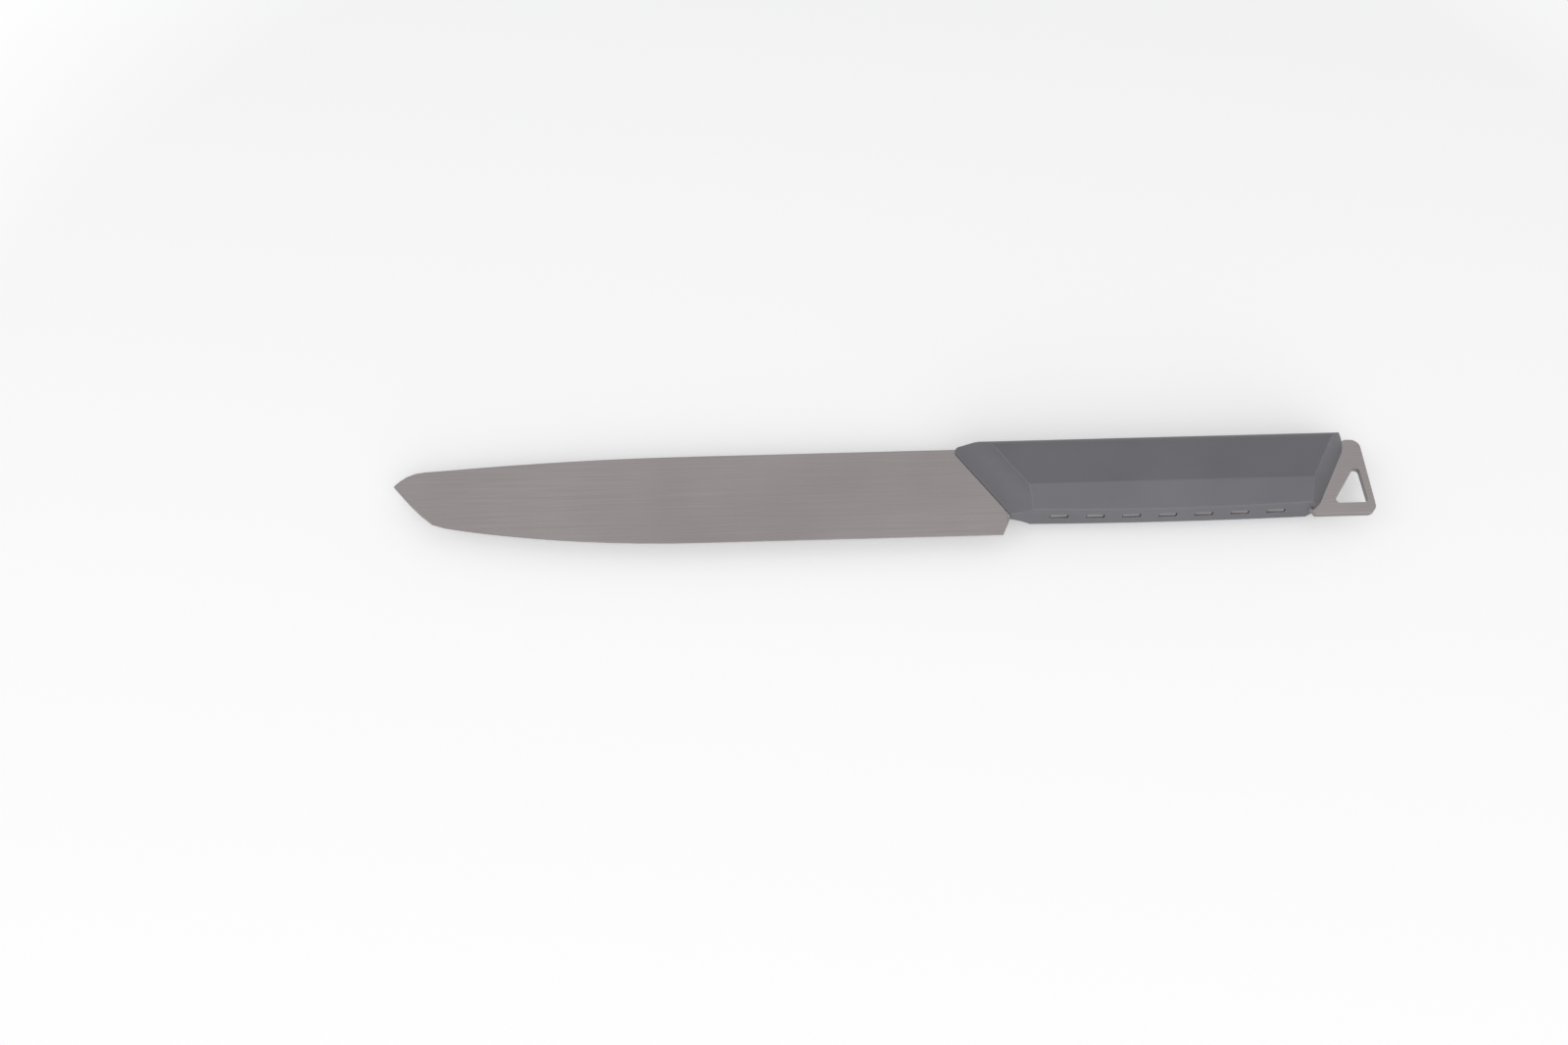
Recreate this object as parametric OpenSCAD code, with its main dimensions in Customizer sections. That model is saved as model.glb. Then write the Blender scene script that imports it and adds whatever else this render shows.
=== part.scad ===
/* [Steel] */
// Thickness of the steel of the blade, tang and hanger
steel_t = 2; // [1.6:0.1:2.8]

/* [Blade] */
// Height from the cutting edge to the back
blade_h = 34.9; // [32:0.1:38]
// Distance from the tip to the heel along the knife
blade_l = 208.6; // [170:0.1:260]
// Height of the tip above the line of the edge
tip_h = 25.9; // [22:0.1:28]
// Length of the steep nose below the tip
nose_l = 16.3; // [12:0.1:20]
// Height of the edge where the nose meets the belly
nose_h = 9.3; // [7:0.1:11]
// Distance from the tip at which the edge becomes straight
belly_l = 105; // [90:1:120]
// Distance from the tip over which the back drops sharply
back_nose_l = 12.4; // [9:0.1:16]
// Drop of the back where that sharp stretch starts
back_nose_drop = 3.3; // [2.4:0.1:4.2]
// Width of the ground bevel above the edge
grind_w = 11; // [8:0.5:11]
// Steel left at the cutting edge
edge_t = 0.3; // [0.2:0.05:0.5]
// Steel left at the tip
tip_t = 0.7; // [0.5:0.05:1]
// Length of the thinning towards the tip
taper_l = 70; // [50:1:90]

/* [Handle] */
// Thickness of the handle
handle_t = 17; // [15:0.5:19]
// Width of the handle from its belly to its back
handle_w = 29; // [28.6:0.1:29.6]
// Distance from the handle's front to the heel, at the knife's centre line
heel_overlap = 3.6; // [2:0.1:5]
// Length of the handle at the knife's centre line
handle_l = 117.3; // [108:0.1:140]
// Lean of the handle's front edge
front_rake = 32.8; // [31:0.1:34]
// Lean of the handle's butt
butt_rake = 29.4; // [28:0.1:31]
// Rounding of the handle's back
back_r = 5; // [3:0.1:6]
// Width of the long facet beside the belly
facet_w = 8.5; // [6:0.1:10]
// Slope of the long facet
facet_slope = 27; // [24:0.5:30]
// Swell of the belly side along the handle
crown = 1; // [0.5:0.1:1.5]
// Length of the hollow cut behind the handle's front edge
scallop_l = 9.3; // [7:0.1:11]
// Radius of that hollow cut
scallop_r = 16; // [14:0.5:20]
// Height of the plain front edge above the steel
front_lip = 0.5; // [0.3:0.1:1]
// Length of the slope at the butt
butt_slope_l = 5.4; // [4:0.1:7]

/* [Windows] */
// Windows in the belly side that show the edge of the tang
window_count = 7; // [5:1:7]
// Distance between two windows
window_pitch = 12.3; // [11:0.1:12.3]
// Length of a window
window_l = 6.3; // [5:0.1:7]
// Extra height of a window above the steel, in all
window_extra = 0.2; // [0.1:0.1:0.8]
// Distance from the handle's front to the middle of the first window
window_start = 23.2; // [20:0.1:26]
// Depth of the tang's edge below the ends of the belly side
tang_recess = 0.5; // [0.3:0.1:1]

/* [Tang and hanger] */
// Width of the tang inside the handle
tang_w = 22.9; // [20:0.1:23]
// Radius of the holes in the tang that the plastic fills
tang_hole_r = 4; // [3:0.1:5]
// Number of those holes
tang_holes = 3; // [2:1:3]
// Length of the hanger plate beyond the butt, at the knife's centre line
hanger_l = 13.7; // [13:0.1:18]
// Height of the hanger plate
hanger_h = 30.2; // [28:0.1:31]
// Rounding of the hanger plate's corners
hanger_r = 3.2; // [2:0.1:4]
// Height of the triangular hanging hole
hole_h = 16.8; // [14:0.1:18]
// Width of the hanging hole along its foot
hole_w = 12; // [10:0.1:12.5]
// Rounding of the hanging hole's corners
hole_r = 1.3; // [0.8:0.1:1.6]
// Steel between the hanging hole and the plate's end
hole_rim = 2.2; // [1.8:0.1:3]
// Steel between the hanging hole and the plate's foot
hole_foot = 4.2; // [3:0.1:5]

/* [Hidden] */
$fn = 64;
far = 400;
arc_steps = 10;
curve_steps = 18;

overall_l = blade_l - heel_overlap + handle_l + hanger_l;
tip_x = -overall_l / 2;
end_x = overall_l / 2;
heel_x = tip_x + blade_l;
straight_edge_y = -17.6;
blade_back_y = straight_edge_y + blade_h;
mid_z = handle_t / 2;

handle_back_y = 17.6;
belly_y = handle_back_y - handle_w;
belly_end_y = belly_y + crown;
front_x = heel_x - heel_overlap;
butt_x = front_x + handle_l;

tang_y = belly_end_y + tang_recess;
tang_back_y = tang_y + tang_w;
tang_shoulder = 9;
tang_relief_r = 3;
hanger_foot_y = belly_end_y - 2.6;
heel_rise_l = 3.4;

// x of the handle's raked front and butt at height y
function front_at(y) = front_x - y * tan(front_rake);
function butt_at(y) = butt_x + y * tan(butt_rake);

// Height of the edge above its straight line, u from the tip
function edge_rise(u) =
    u < nose_l ? nose_h + (tip_h - nose_h) * pow(1 - u / nose_l, 1.25)
    : u < belly_l ? nose_h * pow((belly_l - u) / (belly_l - nose_l), 2)
    : 0;

// Drop of the back below its straight line, u from the tip
function back_drop(u) =
    u < back_nose_l
    ? back_nose_drop + (blade_h - tip_h - back_nose_drop) * pow(1 - u / back_nose_l, 2.8)
    : u < belly_l ? back_nose_drop * pow((belly_l - u) / (belly_l - back_nose_l), 2)
    : 0;

// Rounded corner at b, between the points a and c
function unit(v) = v / norm(v);
function corner(a, b, c, r) =
    let (to_a = unit(a - b), to_c = unit(c - b),
         half = acos(to_a * to_c) / 2,
         middle = b + unit(to_a + to_c) * r / sin(half),
         start = b + to_a * r / tan(half) - middle,
         finish = b + to_c * r / tan(half) - middle,
         from = atan2(start[1], start[0]),
         turn = atan2(finish[1], finish[0]) - from,
         sweep = turn > 180 ? turn - 360 : turn < -180 ? turn + 360 : turn)
    [for (i = [0:arc_steps]) middle + r * [cos(from + sweep * i / arc_steps), sin(from + sweep * i / arc_steps)]];

// Distances from the tip, closer together near the tip
function stations() = [for (i = [1:curve_steps]) belly_l * pow(i / curve_steps, 1.8)];

// Outline of the whole stamping: blade, tang and hanger plate
module steel_outline() {
    edge = [for (u = stations()) [tip_x + u, straight_edge_y + edge_rise(u)]];
    back = [for (i = [curve_steps - 1:-1:0]) let (u = stations()[i]) [tip_x + u, blade_back_y - back_drop(u)]];
    shoulder_x = front_at(blade_back_y) + tang_shoulder;
    foot_x = butt_at(hanger_foot_y);
    hanger_top_y = hanger_foot_y + hanger_h;
    polygon(concat(
        [[tip_x, straight_edge_y + tip_h]],
        edge,
        [[heel_x, straight_edge_y], [heel_x + heel_rise_l, tang_y], [foot_x - 2, tang_y], [foot_x, hanger_foot_y]],
        corner([foot_x, hanger_foot_y], [end_x, hanger_foot_y], [end_x, hanger_top_y], hanger_r),
        corner([end_x, hanger_foot_y], [end_x, hanger_top_y], [foot_x, hanger_top_y], hanger_r),
        [[butt_at(hanger_top_y) - 1, hanger_top_y], [butt_at(tang_back_y) - 6, tang_back_y]],
        corner([foot_x, tang_back_y], [shoulder_x, tang_back_y], [shoulder_x, blade_back_y], tang_relief_r),
        [[shoulder_x, blade_back_y]],
        back
    ));
}

module hanging_hole() {
    foot_y = hanger_foot_y + hole_foot;
    right_x = end_x - hole_rim;
    foot_left = [right_x - hole_w, foot_y];
    foot_right = [right_x, foot_y];
    apex = [right_x - 0.4, foot_y + hole_h];
    polygon(concat(
        corner(apex, foot_left, foot_right, hole_r),
        corner(foot_left, foot_right, apex, hole_r),
        corner(foot_right, apex, foot_left, hole_r)
    ));
}

module tang_hole_row() {
    first = front_at(0) + 28;
    last = butt_at(0) - 24;
    for (i = [0:tang_holes - 1])
        translate([first + (last - first) * i / (tang_holes - 1), (tang_y + tang_back_y) / 2])
            circle(tang_hole_r);
}

// Steel above one face that grinding takes away: along the edge, and towards the tip
module ground_off() {
    edge_slope = (steel_t - edge_t) / 2 / grind_w;
    grind_y = straight_edge_y + grind_w;
    translate([tip_x - 1, 0, 0])
        rotate([90, 0, 90])
            linear_extrude(blade_l + 3)
                polygon([
                    [grind_y, steel_t / 2],
                    [straight_edge_y - 1, edge_t / 2 - edge_slope],
                    [straight_edge_y - 1, steel_t],
                    [grind_y, steel_t]
                ]);
    tip_slope = (steel_t - tip_t) / 2 / taper_l;
    translate([0, far / 2, 0])
        rotate([90, 0, 0])
            linear_extrude(far)
                polygon([
                    [tip_x + taper_l, steel_t / 2],
                    [tip_x - 1, tip_t / 2 - tip_slope],
                    [tip_x - 1, steel_t],
                    [tip_x + taper_l, steel_t]
                ]);
}

// The stamping before grinding, centred on the handle's mid plane
module stamping() {
    translate([0, 0, mid_z - steel_t / 2])
        linear_extrude(steel_t)
            difference() {
                steel_outline();
                hanging_hole();
                tang_hole_row();
            }
}

module blade() {
    color("#aaa5a1")
        difference() {
            stamping();
            translate([0, 0, mid_z]) {
                ground_off();
                mirror([0, 0, 1]) ground_off();
            }
        }
}

// Half of the handle's section above the steel's mid plane, from the back to the belly
function half_section() = let (top = handle_t / 2, facet_y = belly_end_y + facet_w * cos(facet_slope))
    concat(
        [for (i = [0:arc_steps]) [handle_back_y - back_r + back_r * cos(90 * i / arc_steps),
                                  top - back_r + back_r * sin(90 * i / arc_steps)]],
        [[facet_y, top], [belly_y, top - (facet_y - belly_y) * tan(facet_slope)]]
    );

// Plan of the handle: raked ends and a belly side that swells by the crown
module handle_plan() {
    left = front_at(belly_end_y);
    right = butt_at(belly_end_y);
    belly = [for (i = [1:curve_steps - 1]) let (s = i / curve_steps)
        [left + (right - left) * s, belly_end_y - crown * 4 * s * (1 - s)]];
    front_back = [front_at(handle_back_y), handle_back_y];
    butt_back = [butt_at(handle_back_y), handle_back_y];
    polygon(concat(
        [[left, belly_end_y]],
        belly,
        [[right - 1.5, belly_end_y], [butt_at(belly_end_y + 1.5), belly_end_y + 1.5]],
        corner([right, belly_end_y], butt_back, front_back, 4),
        corner(butt_back, front_back, [left, belly_end_y], 1.5)
    ));
}

// Hollow cut that runs along the raked front edge, on one side
module scallop() {
    low = [0, steel_t / 2 + front_lip];
    high = [scallop_l, handle_t / 2];
    chord = high - low;
    middle = (low + high) / 2 + [-chord[1], chord[0]] / norm(chord)
        * sqrt(scallop_r * scallop_r - norm(chord) * norm(chord) / 4);
    translate([front_x, 0, 0])
        rotate([0, 0, front_rake])
            translate([middle[0], 0, middle[1]])
                rotate([90, 0, 0])
                    cylinder(h = far, r = scallop_r, center = true, $fn = 96);
}

// Plane slope at the butt, on one side
module butt_slope() {
    rise = handle_t / 2 - steel_t / 2;
    translate([butt_x, 0, 0])
        rotate([0, 0, -butt_rake])
            translate([0, far / 2, 0])
                rotate([90, 0, 0])
                    linear_extrude(far)
                        polygon([
                            [0, steel_t / 2],
                            [-butt_slope_l, handle_t / 2],
                            [-butt_slope_l * 2, handle_t / 2 + rise],
                            [butt_slope_l * 3, handle_t / 2 + rise],
                            [butt_slope_l * 3, steel_t / 2]
                        ]);
}

module windows() {
    window_h = steel_t + window_extra;
    for (i = [0:window_count - 1])
        translate([front_x + window_start + i * window_pitch - window_l / 2, belly_y - 1, mid_z - window_h / 2])
            cube([window_l, tang_y - belly_y + 1, window_h]);
}

module handle_blank() {
    section = half_section();
    lower = [for (i = [len(section) - 1:-1:0]) [section[i][0], -section[i][1]]];
    intersection() {
        translate([0, 0, mid_z])
            rotate([90, 0, 90])
                linear_extrude(far, center = true)
                    polygon(concat(section, lower));
        linear_extrude(handle_t) handle_plan();
    }
}

module handle() {
    color("#86868c")
        difference() {
            handle_blank();
            translate([0, 0, mid_z]) {
                scallop();
                mirror([0, 0, 1]) scallop();
                butt_slope();
                mirror([0, 0, 1]) butt_slope();
            }
            windows();
            stamping();
        }
}

blade();
handle();
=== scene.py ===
# %% [markdown]
# A slim carving knife: one steel stamping is the blade, the tang and the hanging plate, and a
# faceted grey handle is moulded round the tang. Such a knife could be modelled here from
# nothing. Its solids are exact CAD instead, so this script loads them as a fixed frame. It
# gives them their finishes, adds seven small lands of the tang, and sets the light and the
# camera.

# %% Load the frame
import math

import bmesh
import bpy
from mathutils import Matrix, Vector


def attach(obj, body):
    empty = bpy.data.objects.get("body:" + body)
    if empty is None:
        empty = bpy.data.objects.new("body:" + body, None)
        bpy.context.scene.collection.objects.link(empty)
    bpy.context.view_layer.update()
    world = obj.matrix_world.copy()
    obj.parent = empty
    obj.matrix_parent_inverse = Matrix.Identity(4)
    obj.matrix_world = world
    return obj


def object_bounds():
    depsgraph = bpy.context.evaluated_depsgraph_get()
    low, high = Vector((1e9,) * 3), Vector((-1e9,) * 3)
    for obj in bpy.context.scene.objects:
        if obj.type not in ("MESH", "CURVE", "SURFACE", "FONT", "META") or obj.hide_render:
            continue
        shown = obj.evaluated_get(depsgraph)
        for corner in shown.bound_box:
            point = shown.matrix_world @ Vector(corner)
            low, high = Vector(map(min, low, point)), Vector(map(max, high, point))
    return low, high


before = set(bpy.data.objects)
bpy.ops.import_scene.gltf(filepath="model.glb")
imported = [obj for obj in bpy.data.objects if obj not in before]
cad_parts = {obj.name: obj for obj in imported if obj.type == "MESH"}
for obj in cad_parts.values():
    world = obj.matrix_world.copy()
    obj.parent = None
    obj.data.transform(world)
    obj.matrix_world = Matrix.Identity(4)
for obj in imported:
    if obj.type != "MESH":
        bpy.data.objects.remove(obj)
cad_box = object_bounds()
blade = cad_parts["blade"]
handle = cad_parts["handle"]
MM = 0.001
print("CAD box in metres:", [round(v, 4) for corner in cad_box for v in corner])

# %% [markdown]
# Colours are written as sRGB hex values, the way a designer picks them from a sample. The
# shader works in linear light. Each value could be turned over by hand, but one function
# that follows the sRGB curve does it alike for all of them.

# %% Colours
def linear(hex_colour):
    channels = [int(hex_colour[i:i + 2], 16) / 255 for i in (1, 3, 5)]
    low = [c / 12.92 for c in channels]
    high = [((c + 0.055) / 1.055) ** 2.4 for c in channels]
    return tuple(h if c > 0.04045 else l for c, l, h in zip(channels, low, high)) + (1.0,)


print("Middle grey in linear light:", round(linear("#808080")[0], 3))

# %% [markdown]
# A node graph is a chain of small steps. It could be wired by hand in the shader editor, but
# a script that does so needs several lines for each step. This helper adds one node with its
# settings and links what feeds it, so a material reads from top to bottom.

# %% A helper for nodes
def add(tree, kind, inputs=None, **settings):
    node = tree.nodes.new(kind)
    for name, value in settings.items():
        setattr(node, name, value)
    for name, value in (inputs or {}).items():
        if isinstance(value, bpy.types.NodeSocket):
            tree.links.new(value, node.inputs[name])
        else:
            node.inputs[name].default_value = value
    return node


def new_material(name):
    material = bpy.data.materials.new(name)
    material.use_nodes = True
    material.node_tree.nodes.clear()
    return material, material.node_tree


# %% [markdown]
# Two things hold for both finishes of the knife. Nearly all values of a noise lie between
# 0.3 and 0.7, so what a noise steers is spread over that stretch and not over 0 to 1. A Mix
# node has a pair of sockets for each type of data, all with the same names. Its colours could
# be found by searching for their type, but numbers are shorter.

# %% Values that the finishes share
NOISE_LOW = 0.3
NOISE_HIGH = 0.7
COLOUR_A = 6
COLOUR_B = 7
MIXED_COLOUR = 2
print("Finishes spread over noise from", NOISE_LOW, "to", NOISE_HIGH)

# %% [markdown]
# Stainless knife steel is cold rolled, stamped, then ground along its flats with a fine belt.
# To the eye that gives a slightly warm grey metal with hair lines along the blade. An
# anisotropic shader could give the stretched highlight alone, without any line in it. Noise
# stretched along X draws the lines themselves, and slow clouds of tone keep the flat from
# looking printed. The bevel beside the edge needs no colour of its own: its slope catches the
# light by itself.

# %% Brushed stainless steel
STEEL = "#999493"
STEEL_DARK = "#8E8988"
LINE_SPACING = 0.35 * MM  # real belt lines are finer; drawn coarser so that they show
LINE_LENGTH = 40 * MM
STEEL_CLOUD = 45 * MM
DARK_AT = 0.12  # lines times clouds, where the steel is darkest
LIGHT_AT = 0.4  # and where it is lightest
STEEL_SMOOTH = 0.24
STEEL_ROUGH = 0.36
STEEL_EDGE_ROUND = 0.25 * MM
LINE_DEPTH = 0.01 * MM
LINE_STRENGTH = 0.25


def brushed_stainless_steel():
    material, tree = new_material("brushed_stainless_steel")
    place = add(tree, "ShaderNodeTexCoord").outputs["Object"]
    along_blade = add(tree, "ShaderNodeMapping", {
        "Vector": place, "Scale": (1 / LINE_LENGTH, 1 / LINE_SPACING, 1 / LINE_SPACING)})
    lines = add(tree, "ShaderNodeTexNoise", {
        "Vector": along_blade.outputs["Vector"], "Scale": 1.0, "Detail": 3.0}).outputs["Fac"]
    clouds = add(tree, "ShaderNodeTexNoise", {
        "Vector": place, "Scale": 1 / STEEL_CLOUD, "Detail": 2.0})
    tone = add(tree, "ShaderNodeMath", {0: lines, 1: clouds.outputs["Fac"]}, operation="MULTIPLY")
    lightness = add(tree, "ShaderNodeMapRange", {
        "Value": tone.outputs["Value"], "From Min": DARK_AT, "From Max": LIGHT_AT})
    colour = add(tree, "ShaderNodeMix", {
        COLOUR_A: linear(STEEL_DARK), COLOUR_B: linear(STEEL),
        "Factor": lightness.outputs["Result"]}, data_type="RGBA")
    roughness = add(tree, "ShaderNodeMapRange", {
        "Value": lines, "From Min": NOISE_LOW, "From Max": NOISE_HIGH,
        "To Min": STEEL_SMOOTH, "To Max": STEEL_ROUGH})
    rounded = add(tree, "ShaderNodeBevel", {"Radius": STEEL_EDGE_ROUND}, samples=4)
    bump = add(tree, "ShaderNodeBump", {
        "Height": lines, "Strength": LINE_STRENGTH, "Distance": LINE_DEPTH,
        "Normal": rounded.outputs["Normal"]})
    shader = add(tree, "ShaderNodeBsdfPrincipled", {
        "Base Color": colour.outputs[MIXED_COLOUR], "Metallic": 1.0,
        "Roughness": roughness.outputs["Result"], "Normal": bump.outputs["Normal"]})
    add(tree, "ShaderNodeOutputMaterial", {"Surface": shader.outputs["BSDF"]})
    return material


steel = brushed_stainless_steel()
print(steel.name, "has", len(steel.node_tree.nodes), "nodes")

# %% [markdown]
# The handle is polypropylene, moulded in a spark-eroded tool. That leaves an even, very fine
# grain and a broad satin sheen. Its edges are painted paler: a painted highlight along each
# ridge, with a little rubbed wear. The pale edges could be painted along each ridge, which would
# have to be done anew for each shape. They come instead from how far the rounded normal differs
# from the flat one, which finds edges on any shape.

# %% Satin polypropylene
GRIP = "#6C6C71"
GRIP_DARK = "#65656A"
# paler colour of the edges: a painted highlight, with a little rubbed wear
GRIP_EDGE_HIGHLIGHT_AND_WEAR = "#7B7B81"
GRAIN = 0.6 * MM  # the real grain is finer; drawn coarser so that it shows
GRAIN_DEPTH = 0.03 * MM
GRAIN_STRENGTH = 0.35
GRIP_CLOUD = 30 * MM
SCUFF_SPACING = 2.5 * MM
SCUFF_LENGTH = 25 * MM
GRIP_SMOOTH = 0.4
GRIP_ROUGH = 0.5
GRIP_EDGE_ROUND = 0.7 * MM
HIGHLIGHT_AND_WEAR_FROM = 0.999  # cosine of the angle between the two normals where the painted edge highlight and wear begin
HIGHLIGHT_AND_WEAR_TO = 0.95  # and where it is complete
HIGHLIGHT_AND_WEAR_MOST = 0.8
POLYPROPYLENE_IOR = 1.49


def satin_polypropylene():
    material, tree = new_material("satin_polypropylene")
    place = add(tree, "ShaderNodeTexCoord").outputs["Object"]
    grain = add(tree, "ShaderNodeTexNoise", {"Vector": place, "Scale": 1 / GRAIN, "Detail": 2.0})
    clouds = add(tree, "ShaderNodeTexNoise", {
        "Vector": place, "Scale": 1 / GRIP_CLOUD, "Detail": 3.0})
    lightness = add(tree, "ShaderNodeMapRange", {
        "Value": clouds.outputs["Fac"], "From Min": NOISE_LOW, "From Max": NOISE_HIGH})
    body = add(tree, "ShaderNodeMix", {
        COLOUR_A: linear(GRIP_DARK), COLOUR_B: linear(GRIP),
        "Factor": lightness.outputs["Result"]}, data_type="RGBA")
    rounded = add(tree, "ShaderNodeBevel", {"Radius": GRIP_EDGE_ROUND}, samples=6)
    flat = add(tree, "ShaderNodeNewGeometry").outputs["Normal"]
    agree = add(tree, "ShaderNodeVectorMath", {
        0: rounded.outputs["Normal"], 1: flat}, operation="DOT_PRODUCT")
    # mask of the edges: painted highlight along each ridge, with a little rubbed wear
    edge_highlight_and_wear = add(tree, "ShaderNodeMapRange", {
        "Value": agree.outputs["Value"], "From Min": HIGHLIGHT_AND_WEAR_FROM, "From Max": HIGHLIGHT_AND_WEAR_TO,
        "To Max": HIGHLIGHT_AND_WEAR_MOST})
    # paler edges: painted highlight along the ridges, with a little rubbed wear
    colour = add(tree, "ShaderNodeMix", {
        COLOUR_A: body.outputs[MIXED_COLOUR], COLOUR_B: linear(GRIP_EDGE_HIGHLIGHT_AND_WEAR),
        "Factor": edge_highlight_and_wear.outputs["Result"]}, data_type="RGBA")
    along_handle = add(tree, "ShaderNodeMapping", {
        "Vector": place, "Scale": (1 / SCUFF_LENGTH, 1 / SCUFF_SPACING, 1 / SCUFF_SPACING)})
    scuffs = add(tree, "ShaderNodeTexNoise", {
        "Vector": along_handle.outputs["Vector"], "Scale": 1.0, "Detail": 3.0})
    roughness = add(tree, "ShaderNodeMapRange", {
        "Value": scuffs.outputs["Fac"], "From Min": NOISE_LOW, "From Max": NOISE_HIGH,
        "To Min": GRIP_SMOOTH, "To Max": GRIP_ROUGH})
    bump = add(tree, "ShaderNodeBump", {
        "Height": grain.outputs["Fac"], "Strength": GRAIN_STRENGTH, "Distance": GRAIN_DEPTH,
        "Normal": rounded.outputs["Normal"]})
    shader = add(tree, "ShaderNodeBsdfPrincipled", {
        "Base Color": colour.outputs[MIXED_COLOUR], "Roughness": roughness.outputs["Result"],
        "IOR": POLYPROPYLENE_IOR, "Normal": bump.outputs["Normal"]})
    add(tree, "ShaderNodeOutputMaterial", {"Surface": shader.outputs["BSDF"]})
    return material


plastic = satin_polypropylene()
print(plastic.name, "has", len(plastic.node_tree.nodes), "nodes")

# %% [markdown]
# The knife has two solids, and each is one material all over. Faces could be given slots of
# their own, but nothing here needs that, so each solid's slots are cleared and take one
# finish.

# %% Put the finishes on
for piece, material in ((blade, steel), (handle, plastic)):
    piece.data.materials.clear()
    piece.data.materials.append(material)
    print(piece.name, "is", material.name)

# %% [markdown]
# Seven windows along the belly side show the tang's edge, which stands almost level with the
# plastic. In the CAD solid that edge lies deeper. It could be raised there, but a CAD mesh is
# never changed in this script, so small lands are set on the tang, one in each window of the
# CAD handle. Each is a plate with softly stamped corners that reaches from the tang to just
# under the side of the handle.

# %% Lands of the tang in the windows
WINDOWS = 7
WINDOW_PITCH = 12.3 * MM
FIRST_WINDOW_X = 60.2 * MM
LAND_LENGTH = 6.1 * MM
LAND_HEIGHT = 2.0 * MM
LAND_BELOW_SIDE = 0.3 * MM
STAMPED_CORNER = 0.2 * MM
TANG_EDGE_Y = -9.9 * MM
SIDE_END_Y = -10.4 * MM
SIDE_LEFT = 43.7 * MM
SIDE_RIGHT = 148.4 * MM
SWELL = 1.0 * MM
MIDDLE_Z = (cad_box[0].z + cad_box[1].z) / 2


def side_of_handle(x):
    share = (x - SIDE_LEFT) / (SIDE_RIGHT - SIDE_LEFT)
    hump = 4 * share * (1 - share)  # a parabola, 0 at both ends and 1 in the middle
    return SIDE_END_Y - SWELL * hump


def tang_land(number):
    x = FIRST_WINDOW_X + number * WINDOW_PITCH
    outer = side_of_handle(x) + LAND_BELOW_SIDE
    size = Vector((LAND_LENGTH, TANG_EDGE_Y - outer, LAND_HEIGHT))
    middle = Vector((x, (TANG_EDGE_Y + outer) / 2, MIDDLE_Z))
    shape = bmesh.new()
    bmesh.ops.create_cube(shape, size=1.0)
    for corner in shape.verts:
        corner.co = middle + corner.co * size
    front = [e for e in shape.edges if all(v.co.y < middle.y for v in e.verts)]
    bmesh.ops.bevel(shape, geom=front, offset=STAMPED_CORNER, segments=3, affect="EDGES")
    mesh = bpy.data.meshes.new(f"tang_land_{number + 1}")
    shape.to_mesh(mesh)
    shape.free()
    mesh.materials.append(steel)
    land = bpy.data.objects.new(mesh.name, mesh)
    bpy.context.scene.collection.objects.link(land)
    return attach(land, "root")


lands = [tang_land(number) for number in range(WINDOWS)]
print(len(lands), "lands of the tang")

# %% [markdown]
# The floor is pale and matt. More lamp light could make it white, but would fall on the knife
# as well. Light Path adds a little white for the camera and for reflections only, so the
# floor looks white while it keeps the knife's soft shadow. That white grows with distance, so
# that the floor runs out softly.

# %% Floor
FLOOR = "#F7F7F8"
FLOOR_SIZE = 8.0
FLOOR_BELOW = 0.05 * MM  # keeps the floor off the handle's lowest face
FLOOR_LIFT = 0.25
FAR_FLOOR_LIFT = 0.8
FADE_FROM = 0.35
FADE_TO = 1.0


def pale_floor():
    material, tree = new_material("pale_floor")
    paper = add(tree, "ShaderNodeBsdfDiffuse", {"Color": linear(FLOOR)})
    path = add(tree, "ShaderNodeLightPath")
    looked_at = add(tree, "ShaderNodeMath", {
        0: path.outputs["Is Camera Ray"], 1: path.outputs["Is Glossy Ray"]}, operation="MAXIMUM")
    place = add(tree, "ShaderNodeTexCoord").outputs["Object"]
    distance = add(tree, "ShaderNodeVectorMath", {0: place}, operation="LENGTH")
    amount = add(tree, "ShaderNodeMapRange", {
        "Value": distance.outputs["Value"], "From Min": FADE_FROM, "From Max": FADE_TO,
        "To Min": FLOOR_LIFT, "To Max": FAR_FLOOR_LIFT})
    lift = add(tree, "ShaderNodeMath", {
        0: looked_at.outputs["Value"], 1: amount.outputs["Result"]}, operation="MULTIPLY")
    white = add(tree, "ShaderNodeEmission", {"Strength": lift.outputs["Value"]})
    both = add(tree, "ShaderNodeAddShader", {
        0: paper.outputs["BSDF"], 1: white.outputs["Emission"]})
    add(tree, "ShaderNodeOutputMaterial", {"Surface": both.outputs["Shader"]})
    return material


bpy.ops.mesh.primitive_plane_add(size=FLOOR_SIZE, location=(0, 0, -FLOOR_BELOW))
floor = bpy.context.object
floor.name = "floor"
floor.data.materials.append(pale_floor())
print("Floor of", FLOOR_SIZE, "m")

# %% [markdown]
# Round the knife is a plain white studio. A white world could light it by itself, but light
# that is alike from all sides hides the facets. So the world is white where the camera, a
# reflection or a clear material sees it, and dimmer as a light, which leaves room for lamps.

# %% Surroundings
WORLD_SEEN = 1.0
WORLD_LIGHT = 0.46

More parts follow.
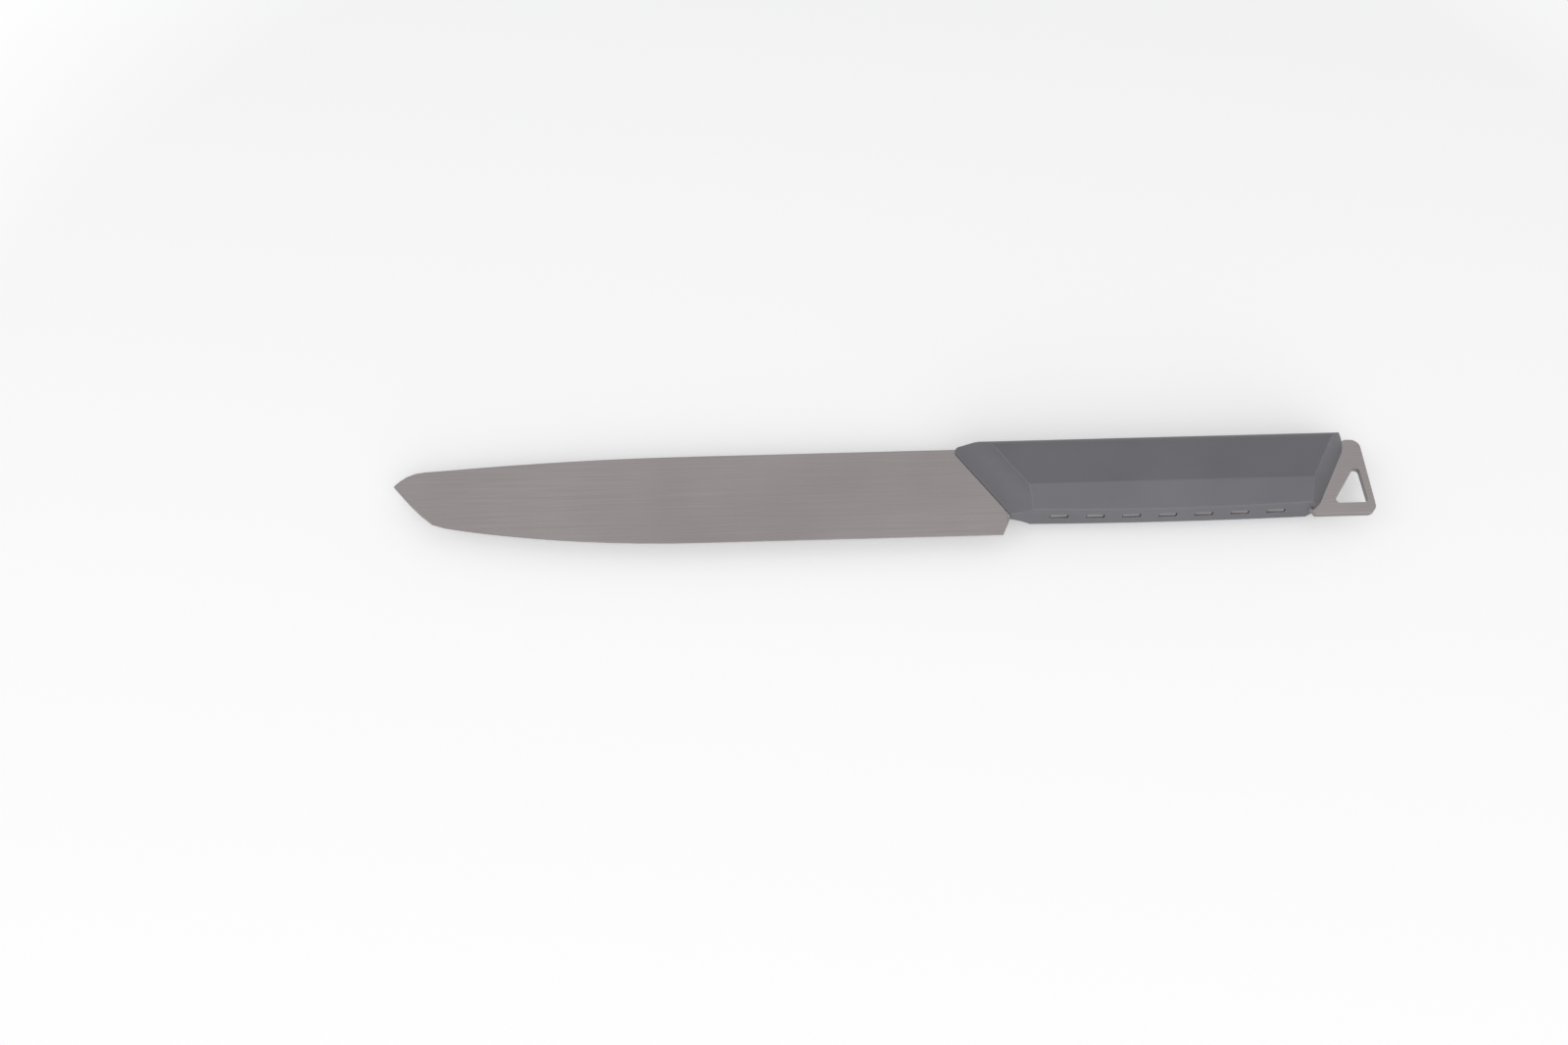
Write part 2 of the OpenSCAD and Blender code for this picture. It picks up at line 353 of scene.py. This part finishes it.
world = bpy.data.worlds.new("studio")
bpy.context.scene.world = world
world.use_nodes = True
studio = world.node_tree
studio.nodes.clear()
seen = add(studio, "ShaderNodeLightPath")
direct = add(studio, "ShaderNodeMath", {
    0: seen.outputs["Is Camera Ray"], 1: seen.outputs["Is Glossy Ray"]}, operation="MAXIMUM")
white_for = add(studio, "ShaderNodeMath", {
    0: direct.outputs["Value"], 1: seen.outputs["Is Transmission Ray"]}, operation="MAXIMUM")
strength = add(studio, "ShaderNodeMapRange", {
    "Value": white_for.outputs["Value"], "To Min": WORLD_LIGHT, "To Max": WORLD_SEEN})
sky = add(studio, "ShaderNodeBackground", {
    "Color": (1, 1, 1, 1), "Strength": strength.outputs["Result"]})
add(studio, "ShaderNodeOutputWorld", {"Surface": sky.outputs["Background"]})
print("World seen at", WORLD_SEEN, "and lighting at", WORLD_LIGHT)

# %% [markdown]
# Two large soft lamps, as in a small product studio: one over the near side, which makes the
# handle's long near facet paler than its top, and a weaker one at the left. Small bright
# lamps could do that too, but their reflection would burn out the blade. A large dim lamp
# spreads it.

# %% Lamps
def soft_lamp(name, place, size, watts):
    data = bpy.data.lights.new(name, "AREA")
    data.size = size
    data.energy = watts
    lamp = bpy.data.objects.new(name, data)
    bpy.context.scene.collection.objects.link(lamp)
    lamp.location = place
    lamp.rotation_euler = (-Vector(place)).to_track_quat("-Z", "Y").to_euler()
    print(name, "of", size, "m and", watts, "W")


soft_lamp("near_softbox", place=(0.3, -1.5, 1.0), size=1.9, watts=18.0)
soft_lamp("left_softbox", place=(-1.3, -0.4, 1.0), size=1.4, watts=4.0)

# %% [markdown]
# The camera stands where the photograph was taken. It could be set by eye, but here its place
# and angle were worked out from the photograph first, so that the render and the photograph
# can be laid over each other. Its roll is the small tilt of that picture.

# %% Camera
CAMERA_PLACE = Vector((-34.9, -297.9, 457.5)) * MM
ELEVATION = math.radians(57.36)
YAW = math.radians(0.31)
ROLL = math.radians(-1.24)
LENS = 36.0  # in millimetres, as the sensor is
SENSOR_WIDTH = 36.0

forward = Vector((
    math.sin(YAW) * math.cos(ELEVATION), math.cos(YAW) * math.cos(ELEVATION), -math.sin(ELEVATION)))
level_right = Vector((math.cos(YAW), -math.sin(YAW), 0))
level_up = level_right.cross(forward)
right = level_right * math.cos(ROLL) + level_up * math.sin(ROLL)
up = level_up * math.cos(ROLL) - level_right * math.sin(ROLL)
camera_data = bpy.data.cameras.new("camera")
camera_data.lens = LENS
camera_data.sensor_width = SENSOR_WIDTH
camera = bpy.data.objects.new("camera", camera_data)
camera.matrix_world = (
    Matrix.Translation(CAMERA_PLACE) @ Matrix((right, up, -forward)).transposed().to_4x4())
bpy.context.scene.collection.objects.link(camera)
bpy.context.scene.camera = camera
bpy.context.scene.view_settings.view_transform = "Standard"
print("Camera at", [round(v, 4) for v in CAMERA_PLACE], "m")
